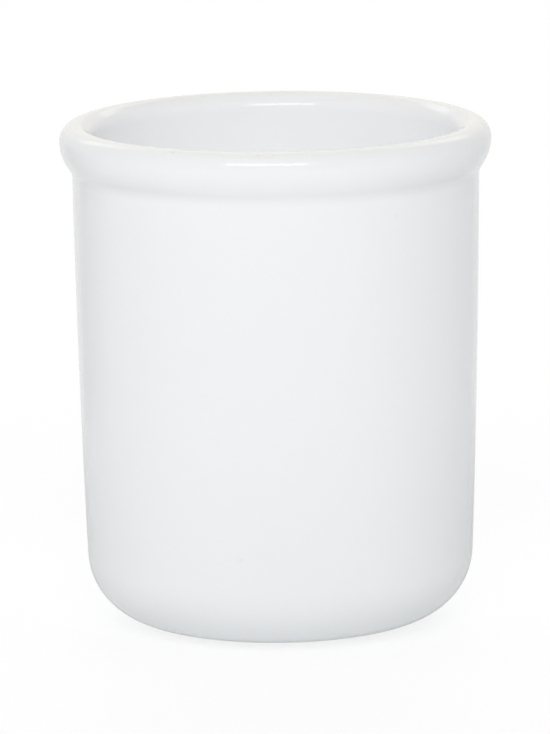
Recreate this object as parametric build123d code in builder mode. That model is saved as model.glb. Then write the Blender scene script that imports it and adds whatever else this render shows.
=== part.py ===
from build123d import *
import os
from math import acos, degrees, sin

# A glazed stoneware utensil crock: one round open pot with a rolled rim, a wall that tapers and
# bows a little, a wide bottom curve and a low foot ring of bare clay.
# Lengths are in millimetres and angles in degrees. Outside sizes are those of the finished pot,
# glaze included. The origin is on the table, under the pot's axis, and +Z is up.

# Rim: a rolled bead, widest a little below its crest, with a slope inside that eases into the hollow
rim_diameter = 130.0
rim_height = 152.7
crest_outer_radius = 5.1
crest_inner_radius = 3.1
bead_under_radius = 13.2
neck_fillet_radius = 6.4
lip_slope_angle = 40.0
lip_slope_length = 3.5
lip_throat_radius = 5.0

# Wall, from its sharp corner under the bead to its sharp corner with the underside. The bead
# stands out past the first by its overhang, and the second is drawn in from the first.
bead_overhang = 3.7
wall_draw_in = 3.7
wall_belly = 0.56
bottom_curve_radius = 20.9

# Hollow
wall_foot_thickness = 5.8
hollow_curve_radius = 16.0
floor_thickness = 6.4

# Foot ring, turned in the clay and left bare, set in from the lowest circle of the bottom curve
foot_set_in = 3.7
foot_width = 5.0
foot_drop = 1.0
recess_depth = 2.6
foot_edge_chamfer = 0.4
foot_root_chamfer = 0.5

# Glaze, and how far it is wiped back on each side of the foot ring
glaze_thickness = 0.4
wiped_margin = 1.2

# Places that follow from those sizes
rim_radius = rim_diameter / 2
crest_radius = rim_radius - crest_outer_radius
neck_radius = rim_radius - bead_overhang
base_radius = neck_radius - wall_draw_in
bore_foot_radius = base_radius - wall_foot_thickness
foot_outer_radius = base_radius - bottom_curve_radius - foot_set_in
foot_inner_radius = foot_outer_radius - foot_width
foot_middle_radius = foot_outer_radius - foot_width / 2
widest_height = rim_height - crest_outer_radius
bead_turn = acos(1 - bead_overhang / bead_under_radius)
neck_height = widest_height - bead_under_radius * sin(bead_turn)
floor_height = recess_depth + floor_thickness
middle_of_floor = recess_depth + floor_thickness / 2


def nearest_corner(drawing, radius, height):
    """The drawing's corner that lies nearest to a place given by radius and height."""
    return drawing.vertices().sort_by_distance((radius, height))[0]


def half_section(skin_edges, depth):
    """Half of the pot's section inside a skin that lies a depth under the finished surface."""
    with BuildSketch() as half:
        with BuildLine():
            add(skin_edges)
            Polyline(
                (0, floor_height - depth),
                (0, recess_depth + depth),
                (foot_middle_radius, recess_depth + depth),
                (foot_middle_radius, foot_drop + depth),
            )
        make_face()
    return half.sketch_local.face()


def drawn_in(edge, section, depth):
    """The line or arc that lies a depth inside an edge of a section, square to it all along."""
    probe = edge @ 0.5 + (edge % 0.5).rotate(Axis.Z, 90) * depth
    turn = 90 if section.is_inside(probe) else -90
    start, middle, end = (
        edge @ place + (edge % place).rotate(Axis.Z, turn) * depth for place in (0, 0.5, 1)
    )
    if edge.geom_type == GeomType.LINE:
        return Line(start, end, mode=Mode.PRIVATE)
    return ThreePointArc(start, middle, end, mode=Mode.PRIVATE)


# The finished skin in section, right of the axis: one smooth line from under the foot ring,
# which is left out, round the outside and over the rim to the middle of the floor
with BuildLine() as skin:
    under_curve = Line((foot_middle_radius, foot_drop), (base_radius, foot_drop))
    wall = SagittaArc(under_curve @ 1, (neck_radius, neck_height), -wall_belly)
    bead_under = CenterArc(
        (rim_radius - bead_under_radius, widest_height),
        bead_under_radius,
        -degrees(bead_turn),
        degrees(bead_turn),
    )
    crest_outer = CenterArc((crest_radius, widest_height), crest_outer_radius, 0, 90)
    crest_inner = CenterArc(
        (crest_radius, rim_height - crest_inner_radius),
        crest_inner_radius,
        90,
        lip_slope_angle,
    )
    lip_slope = PolarLine(crest_inner @ 1, lip_slope_length, direction=crest_inner % 1)
    bore = Line(lip_slope @ 1, (bore_foot_radius, floor_height))
    floor = Line(bore @ 1, (0, floor_height))
    fillet(nearest_corner(skin, base_radius, foot_drop), bottom_curve_radius)
    fillet(nearest_corner(skin, neck_radius, neck_height), neck_fillet_radius)
    fillet(skin.vertices().sort_by_distance(lip_slope @ 1)[0], lip_throat_radius)
    fillet(nearest_corner(skin, bore_foot_radius, floor_height), hollow_curve_radius)

finished_face = half_section(skin.edges(), 0)
clay_skin = [drawn_in(edge, finished_face, glaze_thickness) for edge in skin.edges()]

# The clay's half section: under the glaze everywhere, with the foot ring added
with BuildSketch() as clay_half:
    add(half_section(clay_skin, glaze_thickness))
    with Locations((foot_middle_radius, 0)):
        Rectangle(
            foot_width,
            middle_of_floor,
            align=(Align.CENTER, Align.MIN),
        )
    for ring_radius, root_height in (
        (foot_inner_radius, recess_depth + glaze_thickness),
        (foot_outer_radius, foot_drop + glaze_thickness),
    ):
        chamfer(nearest_corner(clay_half, ring_radius, 0), foot_edge_chamfer)
        chamfer(nearest_corner(clay_half, ring_radius, root_height), foot_root_chamfer)

# The glaze's half section: what the finished pot has outside its clay, less the wiped band
with BuildSketch() as glaze_half:
    add(finished_face)
    add(clay_half.sketch_local, mode=Mode.SUBTRACT)
    with Locations((foot_middle_radius, 0)):
        Rectangle(
            foot_width + 2 * wiped_margin,
            middle_of_floor,
            align=(Align.CENTER, Align.MIN),
            mode=Mode.SUBTRACT,
        )

base_glaze_half, coat_half = glaze_half.sketch_local.faces().sort_by(SortBy.AREA)

# The fired clay body, foot ring included
with BuildPart() as clay_body:
    with BuildSketch(Plane.XZ):
        add(clay_half.sketch_local)
    revolve(axis=Axis.Z)
clay_body.part.label = "clay_body"

# The glaze over the outside, the rim and the hollow, from the wiped band to the floor's middle
with BuildPart() as glaze_coat:
    with BuildSketch(Plane.XZ):
        add(coat_half)
    revolve(axis=Axis.Z)
glaze_coat.part.label = "glaze_coat"

# The disc of glaze in the recess inside the foot ring
with BuildPart() as base_glaze:
    with BuildSketch(Plane.XZ):
        add(base_glaze_half)
    revolve(axis=Axis.Z)
base_glaze.part.label = "base_glaze"

os.makedirs("parts", exist_ok=True)
export_step(clay_body.part, "parts/clay_body.step")
export_step(glaze_coat.part, "parts/glaze_coat.step")
export_step(base_glaze.part, "parts/base_glaze.step")
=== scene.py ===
# %% [markdown]
# # A white glazed utensil crock
#
# The real crock is one turned and fired clay pot with a glossy white glaze over it. Nothing on it
# moves. The CAD frame already holds the three pieces it is made of: the clay body, the coat of
# glaze that covers the outside, the rim and the hollow, and the small disc of glaze under the base.
# This lesson gives each of them a finer mesh and its finish, then lights and frames the pot as in
# a studio photograph.

from math import cos, radians, sin

import bmesh
import bpy
from mathutils import Matrix, Vector


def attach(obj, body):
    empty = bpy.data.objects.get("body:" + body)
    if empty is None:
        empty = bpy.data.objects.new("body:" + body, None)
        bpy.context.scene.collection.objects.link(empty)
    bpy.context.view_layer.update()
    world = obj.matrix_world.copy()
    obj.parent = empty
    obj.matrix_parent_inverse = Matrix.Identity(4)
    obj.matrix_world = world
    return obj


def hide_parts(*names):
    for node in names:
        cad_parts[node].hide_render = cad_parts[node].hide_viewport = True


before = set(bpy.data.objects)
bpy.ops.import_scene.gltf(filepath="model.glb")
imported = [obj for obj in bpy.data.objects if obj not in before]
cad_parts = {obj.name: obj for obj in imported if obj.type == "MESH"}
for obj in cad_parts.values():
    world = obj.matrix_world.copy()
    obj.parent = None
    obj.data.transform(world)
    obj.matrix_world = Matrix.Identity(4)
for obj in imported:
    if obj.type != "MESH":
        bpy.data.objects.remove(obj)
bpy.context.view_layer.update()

# %% [markdown]
# ## Walking round the section
#
# A thrown pot is a section turned about an axis, so the whole form lives in one drawn line. Its
# curves are arcs that run smoothly into each other. A list of points would hide that, so the line
# is drawn as a walk: a pen that goes straight for a length or bends with a radius through an
# angle. Each bend is one `spin` of the pen's vertex and each straight one `extrude`, and because
# a bend starts in the direction that the last step ended in, no joint can have a kink.

# %% A pen that draws the section with bmesh operators
mm = 0.001


class Pen:
    """Draws a chain of edges in the XZ plane. A heading of 0 degrees points to +X, 90 to +Z."""

    def __init__(self, mesh, x, z, heading):
        self.mesh = mesh
        self.tip = mesh.verts.new((x, 0, z))
        self.heading = heading

    def move(self, way, steps):
        for _ in range(steps):
            made = bmesh.ops.extrude_vert_indiv(self.mesh, verts=[self.tip])
            self.tip = made["verts"][0]
            bmesh.ops.translate(self.mesh, verts=[self.tip], vec=way / steps)

    def go(self, length, steps=1):
        turn = radians(self.heading)
        self.move(Vector((length * cos(turn), 0, length * sin(turn))), steps)

    def go_to(self, x, z, steps=1):
        self.move(Vector((x, 0, z)) - self.tip.co, steps)

    def bend(self, radius, angle, steps):
        side = radians(self.heading + (90 if angle > 0 else -90))
        centre = self.tip.co + Vector((radius * cos(side), 0, radius * sin(side)))
        made = bmesh.ops.spin(
            self.mesh, geom=[self.tip], cent=centre, axis=(0, -1, 0),
            angle=radians(angle), steps=steps,
        )
        self.tip = next(v for v in made["geom_last"] if isinstance(v, bmesh.types.BMVert))
        self.heading += angle


# %% [markdown]
# ## The sizes of the skin
#
# The walk starts on the crest of the rim, where the pot is highest, and leaves it both ways. These
# are the radii and lengths of the finished surface, and the degrees that each curve turns through.
# The rim is rolled, the wall bows so little that its radius is over four metres, and the lip slopes
# in at 40 degrees before a small throat eases it into the hollow.

# %% Name the sizes of the walk
crest_radius, crest_height = 59.9 * mm, 152.7 * mm

crest_outer, crest_turn = 5.1 * mm, 90
bead_under, bead_turn = 13.2 * mm, 35.9090819
neck, neck_turn = 6.4 * mm, 35.2697509
wall_bow, wall_turn = 4219.516065 * mm, 1.5631617
bottom_curve, bottom_turn = 20.9 * mm, 87.7975073

crest_inner, lip_turn = 3.1 * mm, 40
lip_slope = 1.242135 * mm
throat, throat_turn = 5.0 * mm, 48.6053067
bore = 122.893626 * mm
hollow_curve, hollow_turn = 16.0 * mm, 88.6053067
print("crest at", round(crest_radius / mm, 1), "mm out,", round(crest_height / mm, 1), "mm up")

# %% [markdown]
# ## The skin of the pot
#
# The same walk serves the finished surface and the clay under it. A surface that lies a depth
# under the finished one has the same straights and the same angles. Only its radii differ: those
# of curves that bulge out shrink by the depth, and those of hollow curves grow by it. The share
# `fine` thins out the steps where a surface is hidden.

# %% The walk from the crest of the rim, outwards and inwards


def walk_outside(mesh, depth, fine=1.0):
    """From the crest down the outside to the flat by the foot ring."""
    pen = Pen(mesh, crest_radius, crest_height - depth, 0)
    pen.bend(crest_outer - depth, -crest_turn, steps=round(30 * fine))
    pen.bend(bead_under - depth, -bead_turn, steps=round(16 * fine))
    pen.bend(neck + depth, neck_turn, steps=round(12 * fine))
    pen.bend(wall_bow - depth, -wall_turn, steps=round(28 * fine))
    pen.bend(bottom_curve - depth, -bottom_turn, steps=round(34 * fine))
    return pen


def walk_inside(mesh, depth, fine=1.0):
    """From the crest over the sloping lip and down the hollow to the flat of the floor."""
    pen = Pen(mesh, crest_radius, crest_height - depth, 180)
    pen.bend(crest_inner - depth, lip_turn, steps=round(14 * fine))
    pen.go(lip_slope)
    pen.bend(throat - depth, throat_turn, steps=round(14 * fine))
    pen.go(bore, steps=round(20 * fine))
    pen.bend(hollow_curve + depth, -hollow_turn, steps=round(26 * fine))
    return pen


probe = bmesh.new()
outside, inside = walk_outside(probe, 0), walk_inside(probe, 0)
print("outside ends at", [round(c / mm, 3) for c in outside.tip.co], "heading", outside.heading)
print("inside ends at", [round(c / mm, 3) for c in inside.tip.co], "heading", inside.heading)
probe.free()

# %% [markdown]
# ## From a line to a turned piece
#
# A potter's wheel becomes one more `spin`, this time of the whole line about the pot's axis. A
# full turn starts and ends in the same place, so the first and last copies are merged, and so are
# the copies of every point that lies on the axis. Turning can leave a mesh inside out, so its
# normals are worked out again before it is kept. Faces that meet at less than a set angle are
# shaded as one smooth surface, which keeps the chamfers of the foot crisp.

# %% Turn a drawn line into a piece
around = 160
merge_within = 0.002 * mm
smooth_below = radians(34)


def turned(mesh, name, slot, *nodes):
    """Spins the mesh's line about Z, tidies it and puts it in the place of the named CAD nodes."""
    bmesh.ops.spin(
        mesh, geom=mesh.verts[:] + mesh.edges[:], cent=(0, 0, 0), axis=(0, 0, 1),
        angle=radians(360), steps=around, use_merge=True,
    )
    bmesh.ops.remove_doubles(mesh, verts=mesh.verts[:], dist=merge_within)
    bmesh.ops.recalc_face_normals(mesh, faces=mesh.faces[:])
    for face in mesh.faces:
        face.smooth = True
    data = bpy.data.meshes.new(name)
    mesh.to_mesh(data)
    mesh.free()
    data.set_sharp_from_angle(angle=smooth_below)
    piece = bpy.data.objects.new(name, data)
    bpy.context.scene.collection.objects.link(piece)
    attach(piece, "root")
    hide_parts(*nodes)
    triangles = sum(len(p.vertices) - 2 for p in data.polygons)
    print(name, "has", triangles, "triangles")
    return piece


# %% [markdown]
# ## The coat of glaze
#
# Glaze is glass with its own thickness, about 0.4 mm here, and it ends where it was wiped off the
# foot before firing. Molten glaze draws back from that line into a round bead. So the coat is two
# walks, one along the finished surface and one along the clay, joined by a half circle at the
# wiped line, and both end on the axis in the middle of the floor.

# %% Make the glaze coat
glaze = 0.4 * mm
wiped_radius = 34.2 * mm
wiped_edge_steps = 8

mesh = bmesh.new()
outer = walk_outside(mesh, 0)
outer.go_to(wiped_radius + glaze / 2, outer.tip.co.z, steps=3)
outer.bend(glaze / 2, -180, wiped_edge_steps)
under = walk_outside(mesh, glaze, fine=0.5)
under.go_to(outer.tip.co.x, outer.tip.co.z)
for depth, fine in ((0, 1.0), (glaze, 0.5)):
    floor_pen = walk_inside(mesh, depth, fine)
    floor_pen.go_to(0, floor_pen.tip.co.z, steps=12)
glaze_coat = turned(mesh, "glaze_coat_finish", "white_glaze", "glaze_coat")

# %% [markdown]
# ## The clay body
#
# All that shows of the clay is the foot ring that the pot stands on. Its corners are broken by a
# small chamfer, as a potter does with a sponge or a stone so that the foot doesn't chip. The rest
# of the body follows the underside of the glaze.

# %% Make the clay body with its foot ring
ring_outer, ring_inner = 33.0 * mm, 28.0 * mm
edge, root = 0.4 * mm, 0.5 * mm
foot_flat, recess_flat = 1.4 * mm, 3.0 * mm

mesh = bmesh.new()
body_pen = walk_outside(mesh, glaze, fine=0.6)
for x, z in (
    (ring_outer + root, foot_flat), (ring_outer, foot_flat - root), (ring_outer, edge),
    (ring_outer - edge, 0), (ring_inner + edge, 0), (ring_inner, edge),
    (ring_inner, recess_flat - root), (ring_inner - root, recess_flat),
):
    body_pen.go_to(x, z)
body_pen.go_to(0, recess_flat, steps=6)
floor_pen = walk_inside(mesh, glaze, fine=0.6)
floor_pen.go_to(0, floor_pen.tip.co.z, steps=8)
clay_body = turned(mesh, "clay_body_finish", "bare_clay", "clay_body")

# %% [markdown]
# ## The glaze under the base
#
# Inside the foot ring the base is glazed too. The bare ring cuts this disc off from the coat, so
# it is a piece of its own, with the same round edge where it was wiped.

# %% Make the disc of glaze in the recess
disc_radius = 26.8 * mm

mesh = bmesh.new()
disc_pen = Pen(mesh, 0, recess_flat - glaze, 0)
disc_pen.go(disc_radius - glaze / 2, steps=8)
disc_pen.bend(glaze / 2, 180, wiped_edge_steps)
disc_pen.go_to(0, recess_flat, steps=3)
base_glaze = turned(mesh, "base_glaze_finish", "white_glaze", "base_glaze")

# %% [markdown]
# ## A small kit for materials
#
# A finish is a graph of nodes. Three helpers keep the graphs short to read. The first starts an
# empty material, the second adds a node and sets or links its inputs, and the third adds a node
# that does one calculation.

# %% Helpers that add nodes


def new_material(name):
    material = bpy.data.materials.new(name)
    material.use_nodes = True
    material.node_tree.nodes.clear()
    return material, material.node_tree


def node(tree, kind, inputs=None, **settings):
    """Adds a node, sets its properties, then links or sets its inputs by name or number."""
    made = tree.nodes.new(kind)
    for key, value in settings.items():
        setattr(made, key, value)
    for key, value in (inputs or {}).items():
        if isinstance(value, bpy.types.NodeSocket):
            tree.links.new(value, made.inputs[key])
        else:
            made.inputs[key].default_value = value
    return made


def calc(tree, operation, *values):
    return node(tree, "ShaderNodeMath", dict(enumerate(values)), operation=operation).outputs[0]


# %% [markdown]
# The finishes and the lights below are mostly totals, products and soft steps of a few measures,
# and blends of two colours by them. A soft step could be a ramp of colours, but Map Range takes
# its ends as plain numbers. The Mix node holds sockets for several kinds of value, and those for
# colours are found by their numbers.

# %% Helpers for totals, products, steps and blends
blend_first, blend_second, blend_result = 6, 7, 2


def total(tree, first, *others):
    for other in others:
        first = calc(tree, "ADD", first, other)
    return first


def product(tree, first, *others):
    for other in others:
        first = calc(tree, "MULTIPLY", first, other)
    return first


def smooth(tree, value, reach, low=0.0, high=1.0):
    """A soft step over a reach of values: low before its start, high after its end."""
    start, end = reach
    return node(
        tree, "ShaderNodeMapRange",
        {"Value": value, "From Min": start, "From Max": end, "To Min": low, "To Max": high},
        interpolation_type="SMOOTHSTEP",
    ).outputs[0]


def fade(tree, value, reach, high=1.0):
    """A soft step down: high before the start of the reach, 0 after its end."""
    return smooth(tree, value, reach, high, 0.0)


def blend(tree, factor, first, second):
    """The first colour where the factor is 0, the second where it is 1."""
    colours = {"Factor": factor, blend_first: first, blend_second: second}
    return node(tree, "ShaderNodeMix", colours, data_type="RGBA").outputs[blend_result]


# %% [markdown]
# ## White glaze: its colour
#
# The glaze is glossy and opaque white, but it isn't one even colour. It runs thinner over the
# crest of the rim and shows a little cream there, and its depth drifts by a hair over the wall. A
# soft step on the height gives the rim its share of cream, and a broad noise gives the drift.

# %% Colour the glaze by its thickness
thick_glaze, thin_glaze = (0.963, 0.969, 0.978, 1), (0.935, 0.925, 0.875, 1)
rim_reach = (151.4 * mm, crest_height)
rim_share, drift_share = 0.6, 0.12

glaze_finish, tree = new_material("white_glaze_finish")
place = node(tree, "ShaderNodeTexCoord").outputs["Object"]
height = node(tree, "ShaderNodeSeparateXYZ", {"Vector": place}).outputs["Z"]
rim_thin = smooth(tree, height, rim_reach)
drift = node(
    tree, "ShaderNodeTexNoise", {"Vector": place, "Scale": 22.0, "Detail": 2.0, "Roughness": 0.45}
).outputs["Fac"]
cream = total(tree, product(tree, rim_thin, rim_share), product(tree, drift, drift_share))
glaze_colour = blend(tree, cream, thick_glaze, thin_glaze)
print("the glaze thins between", [round(z / mm, 1) for z in rim_reach], "mm")

# %% [markdown]
# ## White glaze: healed pinholes
#
# Gas escaping in the kiln leaves a few pinholes: three along the front of the rim, one at its back
# and two on the wall. They have healed over, so they are no more than faint dim spots, small and
# sharper on the rim and wider on the wall. Each is a soft step on the distance from its middle.
# Where two overlap, the stronger one counts.

# %% Dot the glaze with pinholes
pinhole_colour = (0.55, 0.53, 0.48, 1)
pinhole_core = 0.10 * mm
pinholes = (  # place and radius in mm, then strength
    ((-30.1, -54.4, 152.2), 0.65, 0.25),
    ((-5.1, -62.0, 152.2), 0.75, 0.17),
    ((-0.6, -62.2, 152.1), 0.65, 0.17),
    ((-1.5, 57.9, 152.0), 0.65, 0.13),
    ((-11.7, -57.6, 30.2), 1.0, 0.085),
    ((35.4, -50.0, 131.8), 0.9, 0.08),
)

pinhole = 0.0
for (x, y, z), radius, strength in pinholes:
    apart = node(
        tree, "ShaderNodeVectorMath", {0: place, 1: (x * mm, y * mm, z * mm)}, operation="DISTANCE",
    ).outputs["Value"]
    spot = fade(tree, apart, (pinhole_core, radius * mm), strength)
    pinhole = calc(tree, "MAXIMUM", pinhole, spot)
dotted_colour = blend(tree, pinhole, glaze_colour, pinhole_colour)
print("pinholes:", len(pinholes))

# %% [markdown]
# ## White glaze: its surface
#
# Fired glaze is smooth to the touch but not a perfect mirror. A broad, very shallow noise bends
# its reflections a little, and a fine one gives it the faint texture of orange peel. Both are far
# too shallow to model, so they are bumps, one laid over the other.

# %% Give the glaze its gloss
waviness = node(
    tree, "ShaderNodeTexNoise", {"Vector": place, "Scale": 45.0, "Detail": 1.0, "Roughness": 0.3}
).outputs["Fac"]
wavy = node(
    tree, "ShaderNodeBump", {"Height": waviness, "Strength": 0.5, "Distance": 0.25 * mm}
).outputs["Normal"]
orange_peel = node(
    tree, "ShaderNodeTexNoise", {"Vector": place, "Scale": 420.0, "Detail": 1.0}
).outputs["Fac"]
peel = node(
    tree, "ShaderNodeBump",
    {"Height": orange_peel, "Strength": 0.3, "Distance": 0.02 * mm, "Normal": wavy},
).outputs["Normal"]
shader = node(
    tree, "ShaderNodeBsdfPrincipled",
    {"Base Color": dotted_colour, "Roughness": 0.05, "IOR": 1.5, "Normal": peel},
)
node(tree, "ShaderNodeOutputMaterial", {"Surface": shader.outputs[0]})
for piece in (glaze_coat, base_glaze):
    piece.data.materials.append(glaze_finish)
print("glaze nodes:", len(tree.nodes))

# %% [markdown]
# ## Bare clay
#
# The foot is stoneware fired without glaze: matt and buff grey, with fine dark and light grains.
# One fine noise does both jobs. A ramp turns it into the colours of the grains, and a bump makes
# the same grains stand out a little.

# %% The clay's material
dark_grain, dark_stop = (0.50, 0.44, 0.35, 1), 0.32
light_grain, light_stop = (0.74, 0.69, 0.60, 1), 0.62

clay_finish, tree = new_material("bare_clay_finish")
place = node(tree, "ShaderNodeTexCoord").outputs["Object"]
grain = node(
    tree, "ShaderNodeTexNoise", {"Vector": place, "Scale": 1800.0, "Detail": 3.0}
).outputs["Fac"]
ramp = node(tree, "ShaderNodeValToRGB", {"Fac": grain})
dark, light = ramp.color_ramp.elements
dark.position, dark.color = dark_stop, dark_grain
light.position, light.color = light_stop, light_grain
grit = node(
    tree, "ShaderNodeBump", {"Height": grain, "Strength": 0.6, "Distance": 0.05 * mm}
).outputs["Normal"]
shader = node(
    tree, "ShaderNodeBsdfPrincipled",
    {"Base Color": ramp.outputs[0], "Roughness": 0.85, "Normal": grit},
)
node(tree, "ShaderNodeOutputMaterial", {"Surface": shader.outputs[0]})
clay_body.data.materials.append(clay_finish)
print("clay nodes:", len(tree.nodes))

# %% [markdown]
# ## The table
#
# The pot stands on a plain white sheet that runs out of the picture. Lit as softly as this pot,
# such a sheet would look grey, and more light would burn out the pot. So the sheet answers each
# kind of ray in its own way: one answer for the light that bounces from it to the pot, one for the
# camera and one for the glaze that mirrors it.

# %% Make the table
sheet_radius = 12.0

mesh = bmesh.new()
bmesh.ops.create_circle(mesh, cap_ends=True, segments=96, radius=sheet_radius)
data = bpy.data.meshes.new("table")
mesh.to_mesh(data)
mesh.free()
table = bpy.data.objects.new("table", data)
bpy.context.scene.collection.objects.link(table)
print("the table is", 2 * sheet_radius, "m across")

# %% [markdown]
# Everything on the sheet depends on two measures: how far a place is from the pot's axis, and how
# far round the pot it lies. The second is an angle in radians that starts straight behind the pot
# and grows to both sides, up to half a turn towards the camera.

# %% Measure places on the sheet
front_reach = (1.6, 2.6)
shadow_reach = (0.12, 0.40)

table_finish, tree = new_material("white_table")
place = node(tree, "ShaderNodeTexCoord").outputs["Object"]
along = node(tree, "ShaderNodeSeparateXYZ", {"Vector": place}).outputs
away = node(tree, "ShaderNodeVectorMath", {0: place}, operation="LENGTH").outputs["Value"]
from_behind = calc(tree, "ABSOLUTE", calc(tree, "ARCTAN2", along["X"], along["Y"]))
in_front = smooth(tree, from_behind, front_reach)
print("the shadow fades out between", shadow_reach, "m from the axis")

# %% [markdown]
# Light that bounces from the sheet to the pot meets plain matt paper, with light painted into it: a
# shade brighter close in front of the pot, where the sheet catches most light, than elsewhere.

# %% What the pot is lit by
plain_paper, painted_light_paper = (0.875, 0.90, 0.905, 1), (0.915, 0.935, 0.94, 1)
painted_light_reach = (0.12, 0.26)

# painted light: the plain paper turns lighter close in front of the pot, where the sheet catches
# most light
painted_light_share = product(tree, in_front, fade(tree, away, painted_light_reach))
bounce = node(tree, "ShaderNodeBsdfDiffuse", {"Color": blend(tree, painted_light_share, plain_paper, painted_light_paper)})
print("paper from", plain_paper[:3], "to", painted_light_paper[:3])

# %% [markdown]
# The camera sees a glow that is exactly white far from the pot. Close to it, part of the glow
# gives way to matt paper, which is as bright as the light that reaches it. So the pot's soft
# shadow shows there, without a grey floor around it.

# %% What the camera sees
most_matt = 0.22
matt_white, glow_given_up = 0.9, 0.84

matt_share = fade(tree, away, shadow_reach, most_matt)
matt = node(tree, "ShaderNodeBsdfDiffuse", {
    "Color": node(tree, "ShaderNodeCombineColor", {
        key: product(tree, matt_share, matt_white) for key in ("Red", "Green", "Blue")
    }).outputs[0],
})
white = calc(tree, "SUBTRACT", 1.0, product(tree, matt_share, glow_given_up))
print("share of matt paper beside the pot:", most_matt)

# %% [markdown]
# The glaze mirrors the sheet as the photograph shows it on the pot's flanks, with light and shade
# painted into the sheet's glow: a painted shadow close to the pot, where the pot itself takes the
# light away, painted light in front of it and further out, and painted shade again in a gap on each
# side behind the pot, more so on the left.

# %% What the glaze mirrors of the table
close_level, far_level = 0.45, 0.89
front_gain, front_gain_reach = 0.21, (0.05, 0.09)
left_gap, right_gap, left_to_right = 0.26, 0.06, (-0.02, 0.02)
gap_start, gap_end, gap_distance = (0.54, 0.72), (1.05, 1.35), (0.26, 0.40)

# painted shade and light in the sheet's glow for the glaze: dim in the gaps behind the pot and
# close to it, brighter in front and further out
gap_shade = product(
    tree, smooth(tree, from_behind, gap_start), fade(tree, from_behind, gap_end),
    smooth(tree, away, gap_distance), smooth(tree, along["X"], left_to_right, left_gap, right_gap),
)
before = product(tree, in_front, smooth(tree, away, front_gain_reach, 0.0, front_gain))
brighter_out = smooth(tree, away, shadow_reach, close_level, far_level)
mirrored = calc(tree, "SUBTRACT", total(tree, brighter_out, before), gap_shade)
print("mirrored levels: from", close_level, "close by to", far_level, "far away")

# %% [markdown]
# The Light Path node tells the kinds of ray apart. A ray from the camera, from a mirror or through
# glass meets the glow and the matt paper, and any other ray meets the plain paper.

# %% Join the table's three answers
rays = node(tree, "ShaderNodeLightPath").outputs
seen = calc(tree, "MAXIMUM", rays["Is Camera Ray"], rays["Is Glossy Ray"])
seen = calc(tree, "MAXIMUM", seen, rays["Is Transmission Ray"])
level = node(tree, "ShaderNodeMix", {0: rays["Is Glossy Ray"], 2: white, 3: mirrored}).outputs[0]
glow = node(tree, "ShaderNodeEmission", {"Strength": level})
shown = node(tree, "ShaderNodeAddShader", {0: matt.outputs[0], 1: glow.outputs[0]})
answer = node(tree, "ShaderNodeMixShader", {0: seen, 1: bounce.outputs[0], 2: shown.outputs[0]})
node(tree, "ShaderNodeOutputMaterial", {"Surface": answer.outputs[0]})
table.data.materials.append(table_finish)
print("table nodes:", len(tree.nodes))

# %% [markdown]
# ## Light
#
# A white pot on white needs light that is broad but not even, or its form disappears. The light
# is a tent with soft round patches on its cloth. Lamps could do the same, but each would show in
# the glaze, while the world's nodes can light the pot with one tent and show the glaze another. A
# patch is brightest in its middle and fades with the angle from there, and the narrower it is, the
# faster it fades.

# %% Start the tent, and a helper for one patch of light
world = bpy.data.worlds.new("studio")
bpy.context.scene.world = world
world.use_nodes = True
tree = world.node_tree
tree.nodes.clear()
way = node(tree, "ShaderNodeTexCoord").outputs["Generated"]


def around_pot(azimuth, elevation, distance=1.0):
    """A place seen from the pot: azimuth 0 is towards the camera and grows to its right."""
    a, e = radians(azimuth), radians(elevation)
    return Vector((distance * cos(e) * sin(a), -distance * cos(e) * cos(a), distance * sin(e)))


def soft_patch(azimuth, elevation, narrow, level):
    """A soft round patch of light on the tent, as bright as its level in the middle."""
    middle = around_pot(azimuth, elevation)
    toward = node(tree, "ShaderNodeVectorMath", {0: way, 1: middle}, operation="DOT_PRODUCT")
    fall = product(tree, calc(tree, "SUBTRACT", toward.outputs["Value"], 1.0), narrow)
    return product(tree, calc(tree, "EXPONENT", fall), level)


# %% [markdown]
# The strongest patch is in front and gives the wall its slow fall-off towards the sides. One
# behind the pot lights the crest of the rim, and two weaker ones keep the left and right flanks
# apart. Each has an azimuth and an elevation in degrees, how narrow it is, and its level. A hollow
# with white walls is lit by light that bounces from wall to wall, so the render follows more
# diffuse bounces than usual.

# %% Light the pot with four patches
front_patch = (0, 23, 25.0, 4.47)
back_patch = (180, 25, 9.5, 3.6)
left_patch = (-97, 33, 9.0, 1.45)
right_patch = (90, 50, 10.0, 1.42)
front_tint, plain_tint = (0.995, 0.985, 1.0, 1), (1, 1, 1, 1)

front = node(
    tree, "ShaderNodeBackground", {"Color": front_tint, "Strength": soft_patch(*front_patch)},
)
others = total(tree, *[soft_patch(*patch) for patch in (back_patch, left_patch, right_patch)])
rest = node(tree, "ShaderNodeBackground", {"Color": plain_tint, "Strength": others})
tent = node(tree, "ShaderNodeAddShader", {0: front.outputs[0], 1: rest.outputs[0]})
bpy.context.scene.cycles.diffuse_bounces = 12
print("diffuse bounces:", bpy.context.scene.cycles.diffuse_bounces)

# %% [markdown]
# The patches would show in the glaze as round glares, so the glaze mirrors a plainer tent. It has
# one level all round, a flat backdrop behind the pot that is a little brighter, and two softboxes
# above the pot's shoulders that gleam on the slopes of the lip. All of them are drawn on an
# upright plane behind the pot: a direction's place on that plane is how far it goes sideways and
# upwards for each metre that it goes back.

# %% What the glaze mirrors of the tent
mirrored_tint = (1.0, 0.985, 0.95, 1)
tent_level, backdrop_gain, softbox_gain = 0.82, 0.09, 0.9
shift_left, least_back = 0.05, 0.001
backdrop_side, backdrop_top = (0.63, 0.67), (0.80, 0.86)
softbox_inner, softbox_outer = (0.36, 0.42), (0.78, 0.84)
softbox_foot, softbox_top = (0.42, 0.68), (1.20, 1.30)

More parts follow.
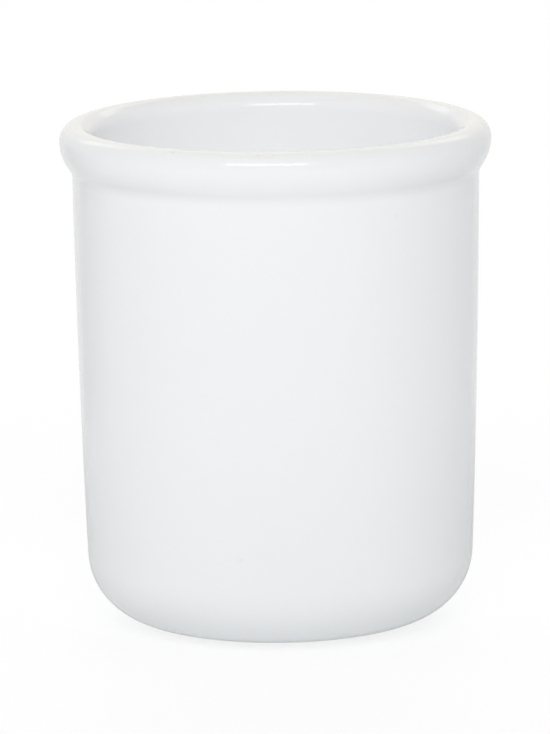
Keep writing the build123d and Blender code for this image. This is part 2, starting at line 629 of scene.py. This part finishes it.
direction = node(tree, "ShaderNodeSeparateXYZ", {"Vector": way}).outputs
back = calc(tree, "MAXIMUM", direction["Y"], least_back)
sideways = total(tree, calc(tree, "DIVIDE", direction["X"], back), shift_left)
across = calc(tree, "ABSOLUTE", sideways)
upward = calc(tree, "DIVIDE", direction["Z"], back)
backdrop = product(tree, fade(tree, across, backdrop_side), fade(tree, upward, backdrop_top))
softboxes = product(
    tree, smooth(tree, across, softbox_inner), fade(tree, across, softbox_outer),
    smooth(tree, upward, softbox_foot), fade(tree, upward, softbox_top),
)
gains = total(
    tree, product(tree, backdrop, backdrop_gain), product(tree, softboxes, softbox_gain),
)
mirrored = node(
    tree, "ShaderNodeBackground",
    {"Color": mirrored_tint, "Strength": total(tree, gains, tent_level)},
)
print("mirrored level:", tent_level, "backdrop +", backdrop_gain, "softboxes +", softbox_gain)

# %% [markdown]
# Each kind of ray now gets its own surroundings. The camera sees plain white, the glaze mirrors
# the plainer tent, and all other rays carry the light of the soft patches.

# %% Join the surroundings
rays = node(tree, "ShaderNodeLightPath").outputs
plain_white = node(tree, "ShaderNodeBackground", {"Color": plain_tint, "Strength": 1.0})
seen = calc(tree, "MAXIMUM", rays["Is Camera Ray"], rays["Is Transmission Ray"])
unseen = node(tree, "ShaderNodeMixShader", {
    0: rays["Is Glossy Ray"], 1: tent.outputs[0], 2: mirrored.outputs[0],
})
around_all = node(tree, "ShaderNodeMixShader", {
    0: seen, 1: unseen.outputs[0], 2: plain_white.outputs[0],
})
node(tree, "ShaderNodeOutputWorld", {"Surface": around_all.outputs[0]})
print("world nodes:", len(tree.nodes))

# %% [markdown]
# A narrow strip light above the camera draws the two bright lines, one on the bead in front and
# one on the slope inside the rim at the back. A lamp has a sharp outline in a mirror, which a soft
# patch of the tent has not. It points at the rim and stays out of the camera's sight.

# %% Hang the strip light
strip_width, strip_depth, strip_watts = 0.80, 0.24, 3.0
rim_middle = Vector((0, 0, 0.14))

lamp = bpy.data.lights.new("strip_light", "AREA")
lamp.shape = "RECTANGLE"
lamp.size, lamp.size_y = strip_width, strip_depth
lamp.energy = strip_watts
strip = bpy.data.objects.new("strip_light", lamp)
bpy.context.scene.collection.objects.link(strip)
strip_place = rim_middle + around_pot(azimuth=-5, elevation=40, distance=1.2)
towards_rim = (rim_middle - strip_place).normalized().to_track_quat("-Z", "Y")
strip.matrix_world = Matrix.Translation(strip_place) @ towards_rim.to_matrix().to_4x4()
strip.visible_camera = False
print("strip light at", [round(c, 2) for c in strip_place])

# %% [markdown]
# ## Camera
#
# The photograph was taken from a little above with a long lens, so the pot's sides hardly
# converge. The place, the lens and the slight roll below come from fitting the pot's outline in
# the photograph. The lens is first known in pixels of the photograph's height and is turned into
# millimetres by the height of the sensor.

# %% Frame the pot as in the photograph
elevation, roll = radians(10.840), radians(-0.719)
distance = 2.1185
aim_point = Vector((0, 0, 77.36 * mm))
photo_height, lens_pixels, shift_pixels = 734, 7000, -3.14
sensor_height = 36.0

forward = Vector((0, cos(elevation), -sin(elevation)))
level_right, level_up = Vector((1, 0, 0)), Vector((0, sin(elevation), cos(elevation)))
right = cos(roll) * level_right + sin(roll) * level_up
up = -sin(roll) * level_right + cos(roll) * level_up

lens = bpy.data.cameras.new("camera")
lens.sensor_fit = "VERTICAL"
lens.sensor_height = sensor_height
lens.lens = lens_pixels * sensor_height / photo_height
lens.shift_x = shift_pixels / photo_height
camera = bpy.data.objects.new("camera", lens)
bpy.context.scene.collection.objects.link(camera)
turned_to = Matrix((right, up, -forward)).transposed().to_4x4()
camera.matrix_world = Matrix.Translation(aim_point - distance * forward) @ turned_to
bpy.context.scene.camera = camera
bpy.context.scene.view_settings.view_transform = "Standard"
print("lens", round(lens.lens, 1), "mm, distance", distance, "m")
